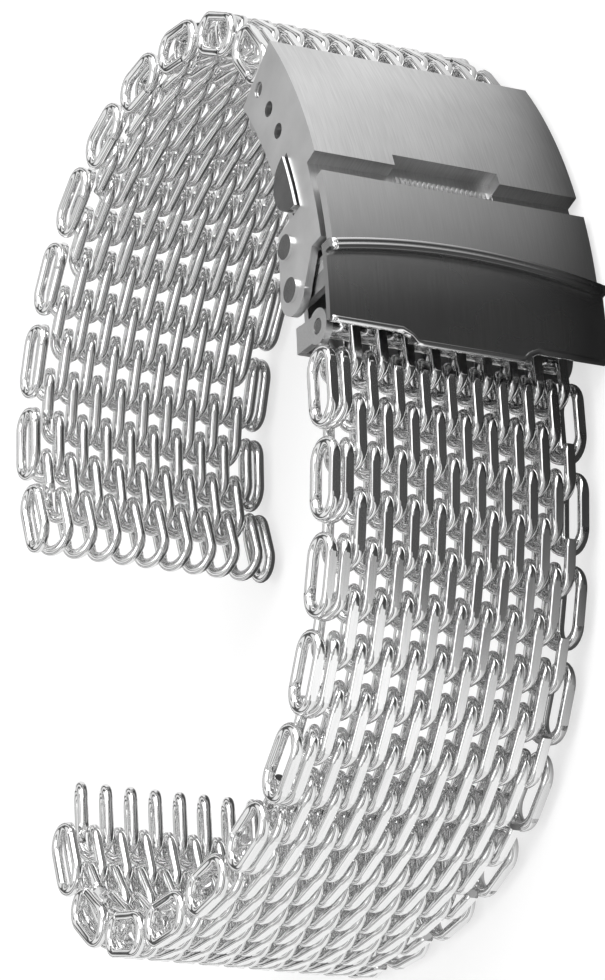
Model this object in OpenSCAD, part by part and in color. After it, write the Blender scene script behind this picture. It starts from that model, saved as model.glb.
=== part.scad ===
// Woven mesh watch band with a fold-over clasp, closed into the loop that it is sold in.
// The band lies on its side edge: +Z runs across the width, and the clasp faces -Y.
// The clasp is bent to an arc, so its pieces are placed by a radius and an angle from -Y.

/* [Mesh] */
// Diameter of the mesh wire
wire_d = 0.86; // [0.7:0.02:0.9]
// Distance between neighbouring turns of one spiral, across the width
turn_pitch = 2.15; // [2.1:0.05:2.6]
// Distance between neighbouring spirals, along the band
row_pitch = 3.46; // [3.2:0.02:3.8]
// Half the distance between the outer and inner wires of a spiral
wire_rise = 1.4; // [1.3:0.02:1.5]
// How far the bends of one spiral reach into the next
row_overlap = 2.1; // [1.9:0.05:2.2]
// Turns of the wide spirals
wide_turns = 10; // [6:1:12]
// Depth of the flat that is ground on the outer face
flat_depth = 0.1; // [0.05:0.01:0.2]

/* [Straps] */
// Direction in which the strap at the cover's end leaves its spring bar, in degrees
lead_a = 8; // [6:1:16]
// Direction in which the strap at the flap's end leaves its spring bar, in degrees
lead_b = 168; // [160:1:170]
// Share of the bends that each spiral makes with the next
bend_share = 1; // [0.85:0.01:1]

/* [Clasp] */
// Radius of the clasp's outer face
clasp_r = 40; // [38:0.5:44]
// Width over the cover's side walls
cover_w = 22; // [22:0.1:23]
// Thickness of the cover's sheet
cover_t = 0.8; // [0.7:0.05:0.9]
// Thickness of the cover's side walls
wall_t = 0.6; // [0.5:0.05:0.6]
// Thickness of the two folding leaves
leaf_t = 0.6; // [0.5:0.05:0.65]
// Thickness of the safety flap
flap_t = 0.8; // [0.7:0.05:0.9]
// Width of the safety flap at its bead
flap_w = 23; // [22.6:0.1:24]
// How far a push button travels
button_travel = 0.8; // [0.5:0.1:1]
// Pairs of adjustment holes in the cover
adjust_holes = 3; // [1:1:3]
// Diameter of an adjustment hole
adjust_d = 1.2; // [1.1:0.05:1.25]
// Diameter of the spring bars
bar_d = 1.5; // [1.3:0.05:1.6]
// Diameter of a spring bar's tips
tip_d = 1.1; // [0.9:0.05:1.1]
// Teeth on the thumb-nail strip
nail_teeth = 20; // [10:1:22]

/* [Hidden] */
$fn = 64;

// Each spiral: straight legs of leg_len joined by half rings of bend_r.
bend_r = norm([turn_pitch / 4, wire_rise]);
leg_len = row_pitch - 2 * bend_r + row_overlap;
ring_tilt = atan(turn_pitch / 4 / wire_rise);
row_reach = leg_len / 2 + bend_r + wire_d / 2;

// Angles along the clasp, in degrees from its middle, towards the cover's strap.
cover_end = 19.8;
face_edge = 1;
shelf_edge = -8.8;
wall_edge = 5.5;
notch_edge = -2.7;
adjust_a = 17.9;
adjust_step = 4.2;
flap_top = -1.9;
flap_tail = -19.2;
lip_tail = -20.4;
bead_a = -9.5;
flap_pin_a = -11.7;
leaf_pin_a = -5.6;
fold_a = 20.6;
bar_b_a = -17.6;
catch_a = 1.4;
riser_end = 3.4;

// Radii in the clasp, from its bending centre.
adjust_r = clasp_r - 3.5;
wall_r = clasp_r - 5.8;
notch_r = clasp_r - 3.4;
flap_pin_r = clasp_r - 6.15;
leaf_pin_r = clasp_r - 6.1;
bar_b_r = clasp_r - 4.2;
middle_r = clasp_r - 6.4;
inner_r = clasp_r - 7.4;
fold_r = clasp_r - 6.6;
shelf_r = clasp_r - 2.1;
flap_r = clasp_r - 0.55;

// Half widths, and what runs between the cover's walls.
cover_z = cover_w / 2;
wall_z = cover_z - wall_t;
side_gap = 0.15;
lug_t = 0.55;
lug_z = wall_z - side_gap;
leaf_z = lug_z - lug_t - 0.2;
flap_z = flap_w / 2;

// Pins and their running clearances.
pin_r = 0.55;
run_gap = 0.05;
seat_gap = 0.02;
head_r = 0.95;
head_t = 0.25;
lug_r = 1.2;
ear_r = 1.9;
tab_r = 1.35;
tab_neck = 1;
knuckle_r = 1;
knuckle_split = 4;
knuckle_gap = 0.1;

// Inside of the cover's side bends, then nail strip, lip and bead of the flap.
bend_in = 0.15;
nail_z = 4.4;
nail_cut = 1.5;
tooth_w = 0.2;
lip_z = 5;
bead_w = 0.7;
bead_h = 0.3;
bead_bow = 1.2;
plate_drop = 0.25;

// Catch: slot in the leaves, and the button's stem, arm and toe.
slot_a = 2;
slot_out = leaf_z - 0.85;
slot_in = slot_out - 2.5;
arm_t = 0.6;
toe_gap = 0.1;
button_proud = 0.35;
button_r = 2.35;

// Coil spring between the two buttons.
coil_r = 0.5;
coil_wire = 0.11;
coil_turns = 14;
coil_rings = 8;
coil_sides = 6;

// The bending centre of the clasp, from the middle of the whole loop.
centre = [5.805, 11.052];
// The band lies on the wider of its flap and its button caps.
half_height = max(flap_z, cover_z + button_proud);

steel = [0.78, 0.78, 0.79];
brushed = [0.66, 0.66, 0.67];
dark_steel = [0.45, 0.45, 0.46];
bright = [0.86, 0.86, 0.87];

// Each strap's curve, in runs of equal bends: how many, and their size in degrees.
runs_a = [[2, 13.5], [2, 11], [1, 9], [5, 7], [5, 8], [2, 9.5], [2, 10.5]];
runs_b = [[4, 4], [3, 6], [1, 8], [3, 10], [1, 8], [1, 5], [2, 4], [1, 6], [1, 9], [1, 12],
          [1, 14.5], [3, 16.4]];
bends_a = [for (run = runs_a) for (k = [1:run[0]]) run[1] * bend_share];
bends_b = [for (run = runs_b) for (k = [1:run[0]]) run[1] * bend_share];
rows_a = len(bends_a) + 1;
rows_b = len(bends_b) + 1;

function two(n) = str(n < 10 ? "0" : "", n);
function name_a(i) = str("strap_a_row_", two(i + 1));
function name_b(i) = str("strap_b_row_", two(i + 1));
function way(angle) = [cos(angle), sin(angle)];
function polar(r, a) = r * way(a - 90);
function sum_to(list, n) = n <= 0 ? 0 : list[n - 1] + sum_to(list, n - 1);

// Direction of spiral i of a strap, leading away from the clasp.
function heading_a(i) = lead_a + sum_to(bends_a, i);
function heading_b(i) = lead_b - sum_to(bends_b, i);

// Middle of spiral i: the first holds its spring bar in a bend.
function middle_a(i) = i == 0
    ? polar(adjust_r, adjust_a) + leg_len / 2 * way(heading_a(0))
    : middle_a(i - 1) + row_pitch / 2 * (way(heading_a(i - 1)) + way(heading_a(i)));
function middle_b(i) = i == 0
    ? polar(bar_b_r, bar_b_a) + leg_len / 2 * way(heading_b(0))
    : middle_b(i - 1) + row_pitch / 2 * (way(heading_b(i - 1)) + way(heading_b(i)));
function turns_of(i) = i % 2 == 0 ? wide_turns - 1 : wide_turns;

// Puts the clasp's bending centre where it lies in the whole loop.
module placed() {
    translate([centre[0], centre[1], half_height]) children();
}

// Local x points away from the bending centre, y along the clasp, z across it.
module at(r, a) {
    rotate([0, 0, a - 90]) translate([r, 0, 0]) children();
}

// A piece of bent sheet between two radii, two angles and two heights.
module sheet(r_in, r_out, from, to, low, high) {
    rotate([0, 0, from - 90])
        rotate_extrude(angle = to - from, $fn = 360)
            translate([r_in, low]) square([r_out - r_in, high - low]);
}

// The same on both sides of the band.
module both_sides() {
    children();
    mirror([0, 0, 1]) children();
}

module post(r, a, radius, low, high) {
    at(r, a) translate([0, 0, low]) cylinder(r = radius, h = high - low);
}

// One spiral of the mesh, s along x and the outer face towards y.
module spiral(turns) {
    legs = 2 * turns;
    difference() {
        for (j = [0:legs - 1]) {
            side = j % 2 == 0 ? 1 : -1;
            z = (j - (legs - 1) / 2) * turn_pitch / 2;
            translate([-leg_len / 2, side * wire_rise, z])
                rotate([0, 90, 0]) cylinder(d = wire_d, h = leg_len);
            if (j < legs - 1)
                translate([side * leg_len / 2, 0, z + turn_pitch / 4])
                    rotate([-side * ring_tilt, 0, 0]) rotate([0, 0, -side * 90])
                        rotate_extrude(angle = 180) translate([bend_r, 0]) circle(d = wire_d);
        }
        translate([-row_reach, wire_rise + wire_d / 2 - flat_depth, -turns * turn_pitch])
            cube([2 * row_reach, wire_d, 2 * turns * turn_pitch]);
    }
}

module strap_a_row(i) {
    color(steel) placed() translate(middle_a(i)) rotate([0, 0, heading_a(i) + 180])
        spiral(turns_of(i));
}

module strap_b_row(i) {
    color(steel) placed() translate(middle_b(i)) rotate([0, 0, heading_b(i)])
        spiral(turns_of(i));
}

// The cover's bent sheet: face, riser, the lowered shelf that the flap closes on, two side walls.
module cover_sheet() {
    difference() {
        sheet(wall_r, clasp_r, shelf_edge, cover_end, -cover_z, cover_z);
        sheet(wall_r - 1, shelf_r, shelf_edge - 1, cover_end + 1, -wall_z, wall_z);
        sheet(shelf_r - 0.5, clasp_r - cover_t, riser_end, cover_end + 1,
              -wall_z + bend_in, wall_z - bend_in);
        sheet(shelf_r + cover_t, clasp_r + 1, shelf_edge - 1, face_edge, -cover_z - 1, cover_z + 1);
        sheet(wall_r - 2, notch_r, shelf_edge - 2, wall_edge, -cover_z - 1, cover_z + 1);
    }
}

// Point where a line from p touches a circle of radius r round c, on the given side.
function touch(p, c, r, side) =
    let (v = p - c, a = atan2(v[1], v[0]) + side * acos(r / norm(v))) c + r * way(a);

// The ear below a side wall, which narrows to the flap's pivot.
module cover_ear() {
    pin = polar(flap_pin_r, flap_pin_a);
    high = polar(notch_r + 0.7, shelf_edge);
    low = polar(wall_r - 1.2, notch_edge);
    down = pin - (high + low) / 2;
    post(flap_pin_r, flap_pin_a, ear_r, wall_z, cover_z);
    translate([0, 0, wall_z]) linear_extrude(wall_t)
        polygon([high, polar(notch_r + 0.7, notch_edge), low, touch(low, pin, ear_r - 0.06, 1),
                 pin + (ear_r - 0.3) * down / norm(down), touch(high, pin, ear_r - 0.06, -1)]);
}

module cover() {
    color(brushed) placed() {
        difference() {
            union() {
                cover_sheet();
                both_sides() cover_ear();
            }
            for (k = [0:adjust_holes - 1])
                post(adjust_r, adjust_a - k * adjust_step, adjust_d / 2, -cover_z - 1, cover_z + 1);
            post(flap_pin_r, flap_pin_a, pin_r + seat_gap, -cover_z - 1, cover_z + 1);
            post(leaf_pin_r, leaf_pin_a, pin_r + seat_gap, -cover_z - 1, cover_z + 1);
            sheet(shelf_r + cover_t - 0.05, clasp_r + 1, face_edge - 1.2, face_edge + nail_cut,
                  -nail_z, nail_z);
        }
        for (k = [0:nail_teeth - 1])
            at(shelf_r + cover_t - 0.1, face_edge - 0.6)
                translate([0, -0.3, (k + 0.5 - nail_teeth / 2) * 2 * tooth_w - tooth_w / 2])
                    cube([0.35, 0.6, tooth_w]);
    }
}

// The flap's top edge is lifted with a nail; it turns on two rivets in the cover's ears.
module safety_flap() {
    bow_r = (pow(flap_z, 2) + pow(bead_bow, 2)) / (2 * bead_bow);
    color(dark_steel) placed() difference() {
        union() {
            difference() {
                sheet(flap_r, flap_r + flap_t, lip_tail, flap_top, -flap_z, flap_z);
                both_sides() {
                    sheet(flap_r - 1, clasp_r + 2, bead_a - 1.2, flap_top + 1, cover_z, flap_z + 1);
                    sheet(flap_r - 1, clasp_r + 2, lip_tail - 1, flap_tail, lip_z, flap_z + 1);
                }
            }
            intersection() {
                sheet(flap_r + flap_t / 2, flap_r + flap_t + bead_h, bead_a - 4, bead_a + 4,
                      -flap_z, flap_z);
                at(flap_r, bead_a) translate([0, -bow_r, 0]) rotate([0, 90, 0])
                    difference() {
                        cylinder(r = bow_r + bead_w / 2, h = 4, center = true, $fn = 360);
                        cylinder(r = bow_r - bead_w / 2 - 0.2, h = 5, center = true, $fn = 360);
                    }
            }
            both_sides() {
                post(flap_pin_r, flap_pin_a, lug_r, lug_z - lug_t, lug_z);
                at(flap_pin_r, flap_pin_a) translate([0, -lug_r, lug_z - lug_t])
                    cube([flap_r - flap_pin_r + 0.1, 2 * lug_r, lug_t]);
            }
        }
        post(flap_pin_r, flap_pin_a, pin_r + run_gap, -cover_z, cover_z);
        // the lower plate lies a little under the upper one, below the bead
        intersection() {
            sheet(flap_r + flap_t - plate_drop, clasp_r + 2, lip_tail - 1, bead_a + 4,
                  -flap_z - 1, flap_z + 1);
            at(flap_r, bead_a) translate([0, -bow_r, 0]) rotate([0, 90, 0])
                cylinder(r = bow_r - bead_w / 2, h = 8, center = true, $fn = 360);
        }
    }
}

// Two stub rivets with round heads outside the cover's ears.
module rivet_pair(r, a) {
    color(bright) placed() both_sides() {
        post(r, a, pin_r, lug_z - lug_t - 0.05, cover_z + head_t / 2);
        post(r, a, head_r, cover_z, cover_z + head_t);
    }
}

module flap_rivets() {
    rivet_pair(flap_pin_r, flap_pin_a);
}

module leaf_rivets() {
    rivet_pair(leaf_pin_r, leaf_pin_a);
}

// Slots that the buttons' arms reach through.
module catch_slots() {
    both_sides()
        sheet(inner_r - 1, middle_r + leaf_t + 1, catch_a - slot_a, catch_a + slot_a,
              slot_in, slot_out);
}

module middle_leaf() {
    color(steel) placed() difference() {
        union() {
            difference() {
                sheet(middle_r, middle_r + leaf_t, leaf_pin_a + 0.4, fold_a - 0.6, -lug_z, lug_z);
                both_sides()
                    sheet(middle_r - 1, clasp_r, leaf_pin_a + 1.6, fold_a + 1, leaf_z, cover_z);
                sheet(middle_r - 1, clasp_r, fold_a - 2.6, fold_a + 1, -knuckle_split, knuckle_split);
            }
            both_sides() {
                post(leaf_pin_r, leaf_pin_a, lug_r - 0.2, lug_z - lug_t, lug_z);
                post(fold_r, fold_a, knuckle_r, knuckle_split, leaf_z);
            }
        }
        post(leaf_pin_r, leaf_pin_a, pin_r + run_gap, -cover_z, cover_z);
        post(fold_r, fold_a, pin_r + seat_gap, -cover_z, cover_z);
        catch_slots();
    }
}

module inner_leaf() {
    split = knuckle_split - knuckle_gap;
    color(steel) placed() difference() {
        union() {
            sheet(inner_r, inner_r + leaf_t, bar_b_a - 1.8, fold_a - 2.6, -leaf_z, leaf_z);
            sheet(inner_r, inner_r + leaf_t, bar_b_a - 1.8, bar_b_a + 1.8, -lug_z, lug_z);
            sheet(inner_r, inner_r + leaf_t, fold_a - 2.7, fold_a - 0.6, -split, split);
            post(fold_r, fold_a, knuckle_r, -split, split);
            both_sides() {
                post(bar_b_r, bar_b_a, tab_r, lug_z - lug_t, lug_z);
                at(inner_r, bar_b_a) translate([leaf_t / 2, -tab_neck, lug_z - lug_t])
                    cube([bar_b_r - inner_r - leaf_t / 2, 2 * tab_neck, lug_t]);
            }
        }
        post(bar_b_r, bar_b_a, adjust_d / 2, -cover_z, cover_z);
        post(fold_r, fold_a, pin_r + run_gap, -cover_z, cover_z);
        catch_slots();
    }
}

module fold_pin() {
    color(bright) placed() post(fold_r, fold_a, pin_r, -leaf_z, leaf_z);
}

// A thumb piece in the wall's notch, with a stem, an arm and a toe behind the leaves.
module button() {
    intersection() {
        post(notch_r - 0.2, catch_a, button_r, wall_z + 0.05, cover_z + button_proud);
        sheet(notch_r - 4, notch_r - 0.2, notch_edge - 1, wall_edge + 1, wall_z, cover_z + 1);
    }
    sheet(notch_r - 1.6, notch_r - 0.4, catch_a - 2, catch_a + 2, slot_out - 1.3, wall_z + 0.1);
    arm = slot_out - 1.4;
    rotate([0, 0, catch_a - 1.2 - 90]) rotate_extrude(angle = 2.4, $fn = 360)
        polygon([[inner_r - 0.7, arm], [notch_r - 0.6, arm], [notch_r - 0.6, arm + arm_t],
                 [inner_r - 0.2, arm + arm_t], [inner_r - 0.2, slot_out - toe_gap],
                 [inner_r - 0.7, slot_out - toe_gap]]);
}

module button_right() {
    color(steel) placed() button();
}

module button_left() {
    color(steel) placed() mirror([0, 0, 1]) button();
}

// A wound coil, its rings' points computed along the helix.
module button_spring() {
    reach = slot_out - 1.45 - coil_wire;
    rings = coil_turns * coil_rings;
    points = [
        for (k = [0:rings]) let (a = k * 360 / coil_rings, z = -reach + 2 * reach * k / rings)
            for (j = [0:coil_sides - 1]) let (b = j * 360 / coil_sides)
                [(coil_r + coil_wire * cos(b)) * cos(a), (coil_r + coil_wire * cos(b)) * sin(a),
                 z + coil_wire * sin(b)]];
    last = rings * coil_sides;
    faces = concat(
        [[for (j = [coil_sides - 1:-1:0]) j], [for (j = [0:coil_sides - 1]) last + j]],
        [for (k = [0:rings - 1]) for (j = [0:coil_sides - 1])
            let (n = (j + 1) % coil_sides, a = k * coil_sides, b = a + coil_sides)
                each [[a + j, a + n, b + n], [a + j, b + n, b + j]]]);
    echo(least_gap_between_coils = 2 * reach / coil_turns - 2 * coil_wire);
    color(bright) placed() at(notch_r - 0.9, catch_a) polyhedron(points, faces, convexity = 8);
}

// A spring bar: a tube with two narrower tips.
module spring_bar(r, a, body, tips) {
    color(bright) placed() {
        post(r, a, bar_d / 2, -body, body);
        post(r, a, tip_d / 2, -tips, tips);
    }
}

module strap_a_bar() {
    spring_bar(adjust_r, adjust_a, wall_z - side_gap, cover_z - 0.15);
}

module strap_b_bar() {
    spring_bar(bar_b_r, bar_b_a, lug_z - lug_t - 0.1, lug_z - 0.05);
}

cover();
safety_flap();
flap_rivets();
leaf_rivets();
middle_leaf();
inner_leaf();
fold_pin();
button_left();
button_right();
button_spring();
strap_a_bar();
strap_b_bar();
for (i = [0:rows_a - 1])
    strap_a_row(i);
for (i = [0:rows_b - 1])
    strap_b_row(i);
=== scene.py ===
import math

import bpy
from mathutils import Matrix, Vector


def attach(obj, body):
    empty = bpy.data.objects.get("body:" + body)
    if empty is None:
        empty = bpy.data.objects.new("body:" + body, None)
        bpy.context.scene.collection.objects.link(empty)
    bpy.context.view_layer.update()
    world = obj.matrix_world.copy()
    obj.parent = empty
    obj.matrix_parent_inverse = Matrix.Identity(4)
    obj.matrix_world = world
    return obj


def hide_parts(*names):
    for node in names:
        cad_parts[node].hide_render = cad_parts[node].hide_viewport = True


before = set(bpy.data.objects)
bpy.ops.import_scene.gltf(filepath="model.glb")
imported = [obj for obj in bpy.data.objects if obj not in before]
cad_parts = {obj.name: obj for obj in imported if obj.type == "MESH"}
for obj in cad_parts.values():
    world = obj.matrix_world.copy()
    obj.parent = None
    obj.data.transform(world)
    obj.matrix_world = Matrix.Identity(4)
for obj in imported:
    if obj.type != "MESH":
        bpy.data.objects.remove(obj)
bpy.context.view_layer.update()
scene = bpy.context.scene
scene.view_settings.view_transform = "Standard"


# The studio: a white floor that the band lies on, two soft lamps, and a camera that
# looks down on the clasp at the photograph's angle. Shader maths is written as sums on
# sockets, here and in every finish.
class Socket:
    def __init__(self, shading, socket):
        self.shading, self.socket = shading, socket

    def maths(self, operation, *terms):
        return self.shading.node("ShaderNodeMath", {"operation": operation}, dict(enumerate(terms)))

    def __add__(self, other):
        return self.maths("ADD", self, other)

    def __sub__(self, other):
        return self.maths("SUBTRACT", self, other)

    def __rsub__(self, other):
        return self.maths("SUBTRACT", other, self)

    def __mul__(self, other):
        return self.maths("MULTIPLY", self, other)

    def __pow__(self, other):
        return self.maths("POWER", self, other)

    def __lt__(self, other):
        return self.maths("LESS_THAN", self, other)

    __radd__, __rmul__ = __add__, __mul__


class Shading:
    def __init__(self, block):
        block.use_nodes = True
        self.block, self.tree = block, block.node_tree
        self.tree.nodes.clear()

    def node(self, kind, settings={}, sockets={}, output=0):
        made = self.tree.nodes.new(kind)
        for key, value in settings.items():
            if key == "stops":
                ramp = made.color_ramp.elements
                ramp.remove(ramp[1])
                for k, (place, grey) in enumerate(value):
                    stop = ramp[0] if k == 0 else ramp.new(place)
                    stop.position, stop.color = place, (grey, grey, grey, 1)
            else:
                setattr(made, key, value)
        for key, value in sockets.items():
            if isinstance(value, Socket):
                self.tree.links.new(value.socket, made.inputs[key])
            else:
                made.inputs[key].default_value = value
        return Socket(self, made.outputs[output]) if made.outputs else None

    def place(self, axes="Object"):
        return self.node("ShaderNodeTexCoord", output=axes)

    def vector(self, operation, first, second=(0, 0, 0), output="Value"):
        return self.node("ShaderNodeVectorMath", {"operation": operation}, {0: first, 1: second}, output)

    def along(self, direction, origin=(0, 0, 0), axes="Object"):
        from_origin = self.vector("SUBTRACT", self.place(axes), origin, "Vector")
        return self.vector("DOT_PRODUCT", from_origin, direction)

    def ramp(self, value, *stops):
        return self.node("ShaderNodeValToRGB", {"stops": stops}, {"Fac": value})

    def streaks(self, scale, detail=3):
        spot = self.node("ShaderNodeMapping", {}, {"Vector": self.place(), "Scale": scale})
        return self.node("ShaderNodeTexNoise", {}, {"Vector": spot, "Scale": 1.0, "Detail": detail})

    # Sockets 6 and 7 of this node are its two colours, and output 2 is the mixed one.
    def blend(self, share, first, second, blend_type="MIX"):
        settings = {"data_type": "RGBA", "blend_type": blend_type}
        return self.node("ShaderNodeMix", settings, {0: share, 6: first, 7: second}, 2)

    def by_ray(self, kind, for_others, for_kind):
        ray = self.node("ShaderNodeLightPath", output=kind)
        return self.node("ShaderNodeMixShader", {}, {0: ray, 1: for_others, 2: for_kind})


camera_spot = Vector((-0.1911, -0.2247, 0.1588))
camera_right = Vector((-0.1791, -0.4307, -0.8846))
camera_up = Vector((0.7966, -0.5911, 0.1266))
camera_back = Vector((-0.5774, -0.6820, 0.4489))
camera_turn = Matrix((camera_right, camera_up, camera_back)).transposed()
lens = bpy.data.cameras.new("camera")
lens.sensor_fit, lens.sensor_height, lens.lens = "VERTICAL", 24, 105.1
lens.clip_start, lens.clip_end = 0.01, 20
camera = bpy.data.objects.new("camera", lens)
camera.matrix_world = Matrix.Translation(camera_spot) @ camera_turn.to_4x4()
scene.collection.objects.link(camera)
scene.camera = camera

floor_half = 6
floor_corners = [(x * floor_half, y * floor_half, 0) for x, y in ((-1, -1), (1, -1), (1, 1), (-1, 1))]
floor_mesh = bpy.data.meshes.new("floor")
floor_mesh.from_pydata(floor_corners, [], [(0, 1, 2, 3)])
floor = bpy.data.objects.new("floor", floor_mesh)
scene.collection.objects.link(floor)

# The camera sees the floor plain white. The steel mirrors another one, a painted reflection that is dark
# before the flap and carries painted shade within the loop, so that the metal gets its dark and light
# zones.
paper_glow, paper_grey, behind_grey, spread_glow = 0.66, 0.42, 0.9, 0.5
strips_start, strips_length = -0.125, 0.25
front_start, front_length = 0.02, 0.125
loop_reach = 0.1
paper = Shading(bpy.data.materials.new("white_paper"))
strips = paper.ramp(
    paper.along((1 / strips_length, 0, 0), (strips_start, 0, 0)),
    (0.0, 0.3), (0.08, 1.0), (0.30, 1.0), (0.36, 0.08), (0.50, 0.04), (0.57, 0.35), (0.68, 0.85),
    (0.85, 0.9), (0.95, 0.3))
front = paper.ramp(
    paper.along((0, -1 / front_length, 0), (0, front_start, 0)), (0.25, 0.0), (0.40, 1.0))
# Painted shade of the loop: the mirrored floor is dark near the loop's middle.
loop_painted_shade = paper.ramp(
    paper.vector("LENGTH", paper.place()) * (1 / loop_reach),
    (0.0, 0.05), (0.12, 0.5), (0.2, 0.06), (0.3, 0.1), (0.38, 1.0))
# The painted reflection: a grey floor behind, dark strips in front, and the loop's painted shade.
painted_reflection = paper.blend(front, (behind_grey, behind_grey, behind_grey, 1), strips)
painted_reflection = paper.blend(1.0, painted_reflection, loop_painted_shade, "MULTIPLY")
painted_reflection = paper.node("ShaderNodeEmission", {}, {"Color": painted_reflection, "Strength": 1.0})
spread = paper.node("ShaderNodeEmission", {}, {"Strength": spread_glow})
seen = paper.node("ShaderNodeAddShader", {}, {
    0: paper.node("ShaderNodeEmission", {}, {"Strength": paper_glow}),
    1: paper.node("ShaderNodeBsdfDiffuse", {}, {"Color": (paper_grey, paper_grey, paper_grey, 1)})})
unseen = paper.by_ray("Is Glossy Ray", spread, painted_reflection)
paper.node("ShaderNodeOutputMaterial", {}, {"Surface": paper.by_ray("Is Camera Ray", unseen, seen)})
floor_mesh.materials.append(paper.block)

# The sky is white to the camera too. To all other rays it is banded in greys by height.
scene.world = bpy.data.worlds.new("studio")
sky = Shading(scene.world)
tent = sky.ramp(
    sky.along((0, 0, 1), axes="Generated"),
    (0.0, 0.04), (0.12, 0.04), (0.18, 0.9), (0.34, 1.0), (0.40, 0.08), (0.50, 0.06), (0.56, 1.0),
    (0.76, 1.0), (0.82, 0.12), (0.90, 0.9), (1.0, 1.0))
white = sky.node("ShaderNodeBackground", {}, {"Strength": 1.0, "Color": (1, 1, 1, 1)})
graded = sky.node("ShaderNodeBackground", {}, {"Strength": 0.9, "Color": tent})
sky.node("ShaderNodeOutputWorld", {}, {"Surface": sky.by_ray("Is Camera Ray", graded, white)})

lamp_base, lamp_aim = Vector((0, 0, 0.05)), Vector((0, 0, 0.01))
key_spot = camera_up * 0.42 + camera_back * 0.18 - camera_right * 0.1
fill_spot = camera_back * 0.4 - camera_right * 0.35
for name, spot, size, power in (("key", key_spot, 0.5, 1.6), ("fill", fill_spot, 0.4, 0.6)):
    lamp = bpy.data.lights.new(name, "AREA")
    lamp.size, lamp.energy = size, power
    light = bpy.data.objects.new(name, lamp)
    light.location = spot + lamp_base
    light.rotation_euler = (lamp_aim - light.location).to_track_quat("-Z", "Y").to_euler()
    scene.collection.objects.link(light)


# The mesh: each row is one spiral of polished steel wire, wound through its
# neighbours. The outer faces are ground flat after weaving. Every second spiral is a
# turn wider, and its ends are closed into rings. Sizes here and below are millimetres.
mm = 0.001
wire_d, wire_rise, wire_sides = 0.86, 1.4, 20
turn_pitch, row_pitch, row_overlap = 2.15, 3.46, 2.1
narrow_turns, wide_turns = 9, 10
ground_off = 0.13
bend_r = math.hypot(turn_pitch / 4, wire_rise)
leg_len = row_pitch - 2 * bend_r + row_overlap
flat_y = wire_rise + wire_d / 2 - ground_off
clasp_centre, mid_width = Vector((5.805, 11.052)), 11.5


def half_ring(centre, start, reach, steps=14):
    angles = [math.pi * k / steps for k in range(steps + 1)]
    return [centre + start * math.cos(a) + reach * math.sin(a) for a in angles]


# A wire's centre line: straight legs on the outer and the inner face in turn, joined by
# tilted half rings.
def wire_path(turns):
    legs, half, step, points = 2 * turns, leg_len / 2, turn_pitch / 2, []
    for j in range(legs):
        side, z = (1 if j % 2 == 0 else -1), (j - (legs - 1) / 2) * step
        points += [Vector((side * half * share, side * wire_rise, z)) for share in (-1, -0.5, 0, 0.5)]
        if j < legs - 1:
            centre, start = Vector((side * half, 0, z + step / 2)), Vector((0, side * wire_rise, -step / 2))
            points += half_ring(centre, start, Vector((side * bend_r, 0, 0)))
        else:
            points.append(Vector((side * half, side * wire_rise, z)))
    if turns == wide_turns:
        right, left = Vector((half, 0, 0)), Vector((-half, 0, 0))
        up, out = Vector((0, wire_rise, 0)), Vector((wire_rise, 0, 0))
        high = Vector((0, 0, (legs - 1) / 2 * step))
        first_ring = half_ring(right - high, up, out) + half_ring(left - high, -up, -out)[:-1]
        last_ring = half_ring(left + high, -up, -out)[1:] + half_ring(right + high, up, out)
        points = first_ring + points + last_ring
    return points


# The points round one point of a path, in order round the way that the path runs.
def ring(path, k, start, radius, sides, offset=0):
    ahead = (path[min(k + 1, len(path) - 1)] - path[max(k - 1, 0)]).normalized()
    start = (start - ahead * ahead.dot(start)).normalized()
    side = ahead.cross(start)
    angles = [2 * math.pi * (j + offset) / sides for j in range(sides)]
    return [path[k] + radius * (start * math.cos(a) + side * math.sin(a)) for a in angles]


# Rings of points joined into one closed tube, with its faces outward and flat ends.
def tube(name, verts, sides):
    last, faces = len(verts) - sides, []
    for k in range(0, last, sides):
        for j in range(sides):
            n = (j + 1) % sides
            faces.append((k + j, k + n, k + sides + n, k + sides + j))
    faces += [tuple(reversed(range(sides))), tuple(range(last, len(verts)))]
    mesh = bpy.data.meshes.new(name)
    mesh.from_pydata(verts, [], faces)
    mesh.polygons.foreach_set("use_smooth", [len(f) == 4 for f in faces])
    return mesh


def wire_mesh(name, turns, middle, angle):
    path, verts, flat = wire_path(turns), [], []
    turn = Matrix.Rotation(math.radians(angle), 3, "Z")
    shift = Vector((*(middle + clasp_centre), mid_width))
    for k in range(len(path)):
        for p in ring(path, k, Vector((0, 0, 1)), wire_d / 2, wire_sides, 0.5):
            flat.append(p.y > flat_y)
            p.y = min(p.y, flat_y)
            verts.append((turn @ p + shift) * mm)
    mesh = tube(name, verts, wire_sides)
    for face in mesh.polygons:
        if len(face.vertices) == 4 and all(flat[v] for v in face.vertices):
            face.use_smooth, face.material_index = False, 1
    return mesh


bump_depth = 0.00002
cloud_scale, cloud_detail = (160, 160, 160), 2
line_share, cloud_share = 0.6, 0.4
darkest_at, lightest_at = 0.35, 0.65


def polish(steel, shade, rough, lines, bump):
    relief = steel.node("ShaderNodeBump", {}, {"Strength": bump, "Distance": bump_depth, "Height": lines})
    body = steel.node("ShaderNodeBsdfPrincipled", {}, {
        "Base Color": shade, "Metallic": 1.0, "Roughness": rough, "Normal": relief})
    steel.node("ShaderNodeOutputMaterial", {}, {"Surface": body})


def metal(name, colour, colour_var, rough, rough_var, line_scale, bump):
    steel = Shading(bpy.data.materials.new(name))
    lines = steel.streaks(line_scale)
    clouds = steel.streaks(cloud_scale, cloud_detail)
    low, high = (darkest_at, colour - colour_var), (lightest_at, colour + colour_var)
    shade = steel.ramp(lines * line_share + clouds * cloud_share, low, high)
    polish(steel, shade, rough + rough_var * (clouds - 0.5), lines, bump)
    return steel


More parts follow.
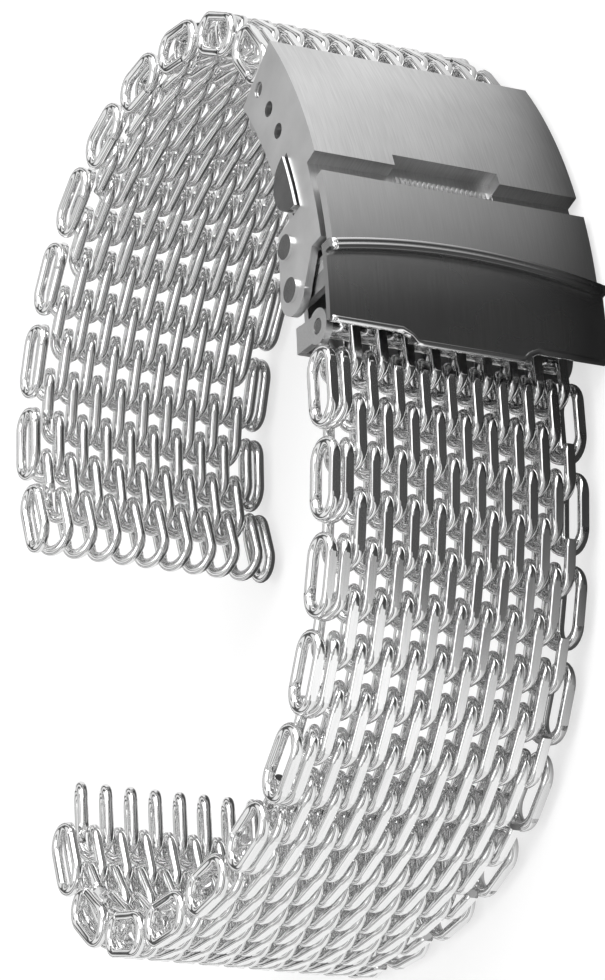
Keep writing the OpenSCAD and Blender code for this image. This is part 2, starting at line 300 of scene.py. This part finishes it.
drawn_wire = metal("drawn_wire", colour=0.88, colour_var=0.04, rough=0.10, rough_var=0.08,
                   line_scale=(900, 900, 2600), bump=0.06)
ground_flat = metal("ground_flat", colour=0.95, colour_var=0.03, rough=0.17, rough_var=0.10,
                    line_scale=(500, 500, 5200), bump=0.10)


# The two straps: 20 rows of mesh hung on the cover's spring bar and 23 on the inner
# leaf's, curved into an open loop. Each row stands at its own bend to the one before,
# in degrees, and no row is fastened to the next but by its winding.
def way(angle):
    return Vector((math.cos(math.radians(angle)), math.sin(math.radians(angle))))


def polar(radius, angle):
    return radius * way(angle - 90)


def runs(*pairs):
    return [bend for count, bend in pairs for _ in range(count)]


bar_a, bar_b = polar(36.5, 17.9), polar(35.8, -17.6)
bends_a = runs((2, 13.5), (2, 11), (1, 9), (5, 7), (5, 8), (2, 9.5), (2, 10.5))
bends_b = runs((4, 4), (3, 6), (1, 8), (3, 10), (1, 8), (1, 5), (2, 4), (1, 6), (1, 9), (1, 12),
               (1, 14.5), (3, 16.4))
for letter, heading, sense, facing, bar, bends in (
        ("a", 8, 1, 180, bar_a, bends_a), ("b", 168, -1, 0, bar_b, bends_b)):
    middle = bar + leg_len / 2 * way(heading)
    for i in range(len(bends) + 1):
        if i:
            middle = middle + row_pitch / 2 * (way(heading) + way(heading + sense * bends[i - 1]))
            heading += sense * bends[i - 1]
        node = "strap_%s_row_%02d" % (letter, i + 1)
        turns = narrow_turns if i % 2 == 0 else wide_turns
        mesh = wire_mesh("wire_%s_%02d" % (letter, i + 1), turns, middle, heading + facing)
        mesh.materials.append(drawn_wire.block)
        mesh.materials.append(ground_flat.block)
        spiral = bpy.data.objects.new(mesh.name, mesh)
        scene.collection.objects.link(spiral)
        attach(spiral, "b_" + node)
        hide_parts(node)


# The clasp's cover: one bent sheet of stainless steel, brushed lengthwise. Its side
# walls are pierced for the strap's spring bar and carry the rivets that the flap and
# the folding leaves turn on.
def dress(shading, *names):
    for name in names:
        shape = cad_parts[name]
        shape.data.materials.clear()
        shape.data.materials.append(shading.block)


lengthwise = (350, 350, 9000)
brushed_cover = metal("brushed_cover", colour=0.74, colour_var=0.07, rough=0.34, rough_var=0.10,
                      line_scale=lengthwise, bump=0.35)
dress(brushed_cover, "cover")

# The safety flap: one pressed steel sheet, hung on two rivets, with a bowed bead across it. It is brushed
# above the bead, polished on it, and smooth below. Its colour carries a painted highlight on the bead and
# painted shade on the plate below it.
flap_r, bead_angle, bead_bow, bead_half, bead_w = 39.45, -9.5, 1.2, 11.5, 0.68
bead_painted_highlight, upper_shade, lower_painted_shade = 0.86, 0.64, 0.46
bead_rough, upper_rough, lower_rough = 0.16, 0.34, 0.24
shade_var, rough_var, flap_bump = 0.14, 0.06, 0.2
bow_r = (bead_half ** 2 + bead_bow ** 2) / (2 * bead_bow)
bead_spot, bead_way = polar(flap_r, bead_angle) + clasp_centre, way(bead_angle)
flap = Shading(bpy.data.materials.new("flap_steel"))
along_band = flap.along((*(bead_way / mm), 0), (*(bead_spot * mm), 0)) + bow_r
over_width = flap.along((0, 0, 1 / mm), (0, 0, mid_width * mm))
from_bow = (along_band * along_band + over_width * over_width) ** 0.5
lower = from_bow < bow_r - bead_w / 2
upper = 1 - (from_bow < bow_r + bead_w / 2)
lines = flap.streaks(lengthwise)
# The colour: the bead lightened by a painted highlight, and the plate below darkened by painted shade.
shade = (bead_painted_highlight - (bead_painted_highlight - upper_shade) * upper - (bead_painted_highlight - lower_painted_shade) * lower
         + shade_var * (lines - 0.5))
grey = flap.node("ShaderNodeCombineColor", {}, {0: shade, 1: shade, 2: shade})
rough = (bead_rough + (upper_rough - bead_rough) * upper + (lower_rough - bead_rough) * lower
         + rough_var * flap.streaks(cloud_scale, cloud_detail))
polish(flap, grey, rough, lines, flap_bump)
dress(flap, "safety_flap")

# The flap's bright edges: the two rounded ridges of its bead, and the rolled edge of
# its tail, which steps down round the lip in the middle. Both are polished.
buffed = (1500, 1500, 1500)
polished = metal("polished_edge", colour=0.92, colour_var=0.02, rough=0.12, rough_var=0.06,
                 line_scale=buffed, bump=0.03)
edge_sides = 12


def on_flap(radius, angle, z):
    return Vector((*polar(radius, angle), z))


def rounded_edge(name, outline, radius):
    shift, verts = Vector((*clasp_centre, mid_width)), []
    for k, point in enumerate(outline):
        outward = Vector((point.x, point.y, 0))
        verts += [(p + shift) * mm for p in ring(outline, k, outward, radius, edge_sides)]
    mesh = tube(name, verts, edge_sides)
    mesh.materials.append(polished.block)
    piece = bpy.data.objects.new(name, mesh)
    scene.collection.objects.link(piece)
    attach(piece, "flap")


ridge_r, ridge_drop, ridge_level, ridge_half, ridge_steps = 0.27, 0.2, 40.36, 0.97 * bead_half, 48
for name, drop in (("bead_upper", ridge_drop), ("bead_lower", -ridge_drop)):
    ridge = []
    for k in range(ridge_steps + 1):
        z = ridge_half * (2 * k / ridge_steps - 1)
        bow = (bow_r ** 2 - z ** 2) ** 0.5 - bow_r
        ridge.append(on_flap(ridge_level, bead_angle + math.degrees((bow + drop) / flap_r), z))
    rounded_edge(name, ridge, ridge_r)

tail_r, tail_level, tail_step = 0.29, 39.74, 0.5
tail_half = [(11.3, -19.05), (5.6, -19.05), (4.8, -19.6), (4.4, -20.2)]
tail = [(-z, angle) for z, angle in tail_half] + tail_half[::-1]
tail_line = []
for (z0, a0), (z1, a1) in zip(tail, tail[1:]):
    count = max(2, int((z1 - z0) / tail_step))
    shares = [k / count for k in range(count)]
    tail_line += [on_flap(tail_level, a0 + (a1 - a0) * s, z0 + (z1 - z0) * s) for s in shares]
end_z, end_angle = tail[-1]
rounded_edge("tail_edge", tail_line + [on_flap(tail_level, end_angle, end_z)], tail_r)

# The folding leaves inside the clasp: two strips of satin steel sheet, brushed across.
# The middle one turns on the cover, and the inner one on its end, where it holds the
# second strap.
crosswise = (9000, 9000, 350)
satin_leaf = metal("satin_leaf", colour=0.66, colour_var=0.05, rough=0.30, rough_var=0.08,
                   line_scale=crosswise, bump=0.25)
dress(satin_leaf, "middle_leaf", "inner_leaf")

# The fittings: the push buttons and the coil spring between them, the rivets, the fold
# pin and the spring bars. They are turned or drawn steel, polished bright.
polished_fittings = metal("polished_fittings", colour=0.82, colour_var=0.04, rough=0.14, rough_var=0.08,
                          line_scale=buffed, bump=0.06)
dress(polished_fittings, "button_left", "button_right", "button_spring", "flap_rivets", "leaf_rivets",
      "fold_pin", "strap_a_bar", "strap_b_bar")
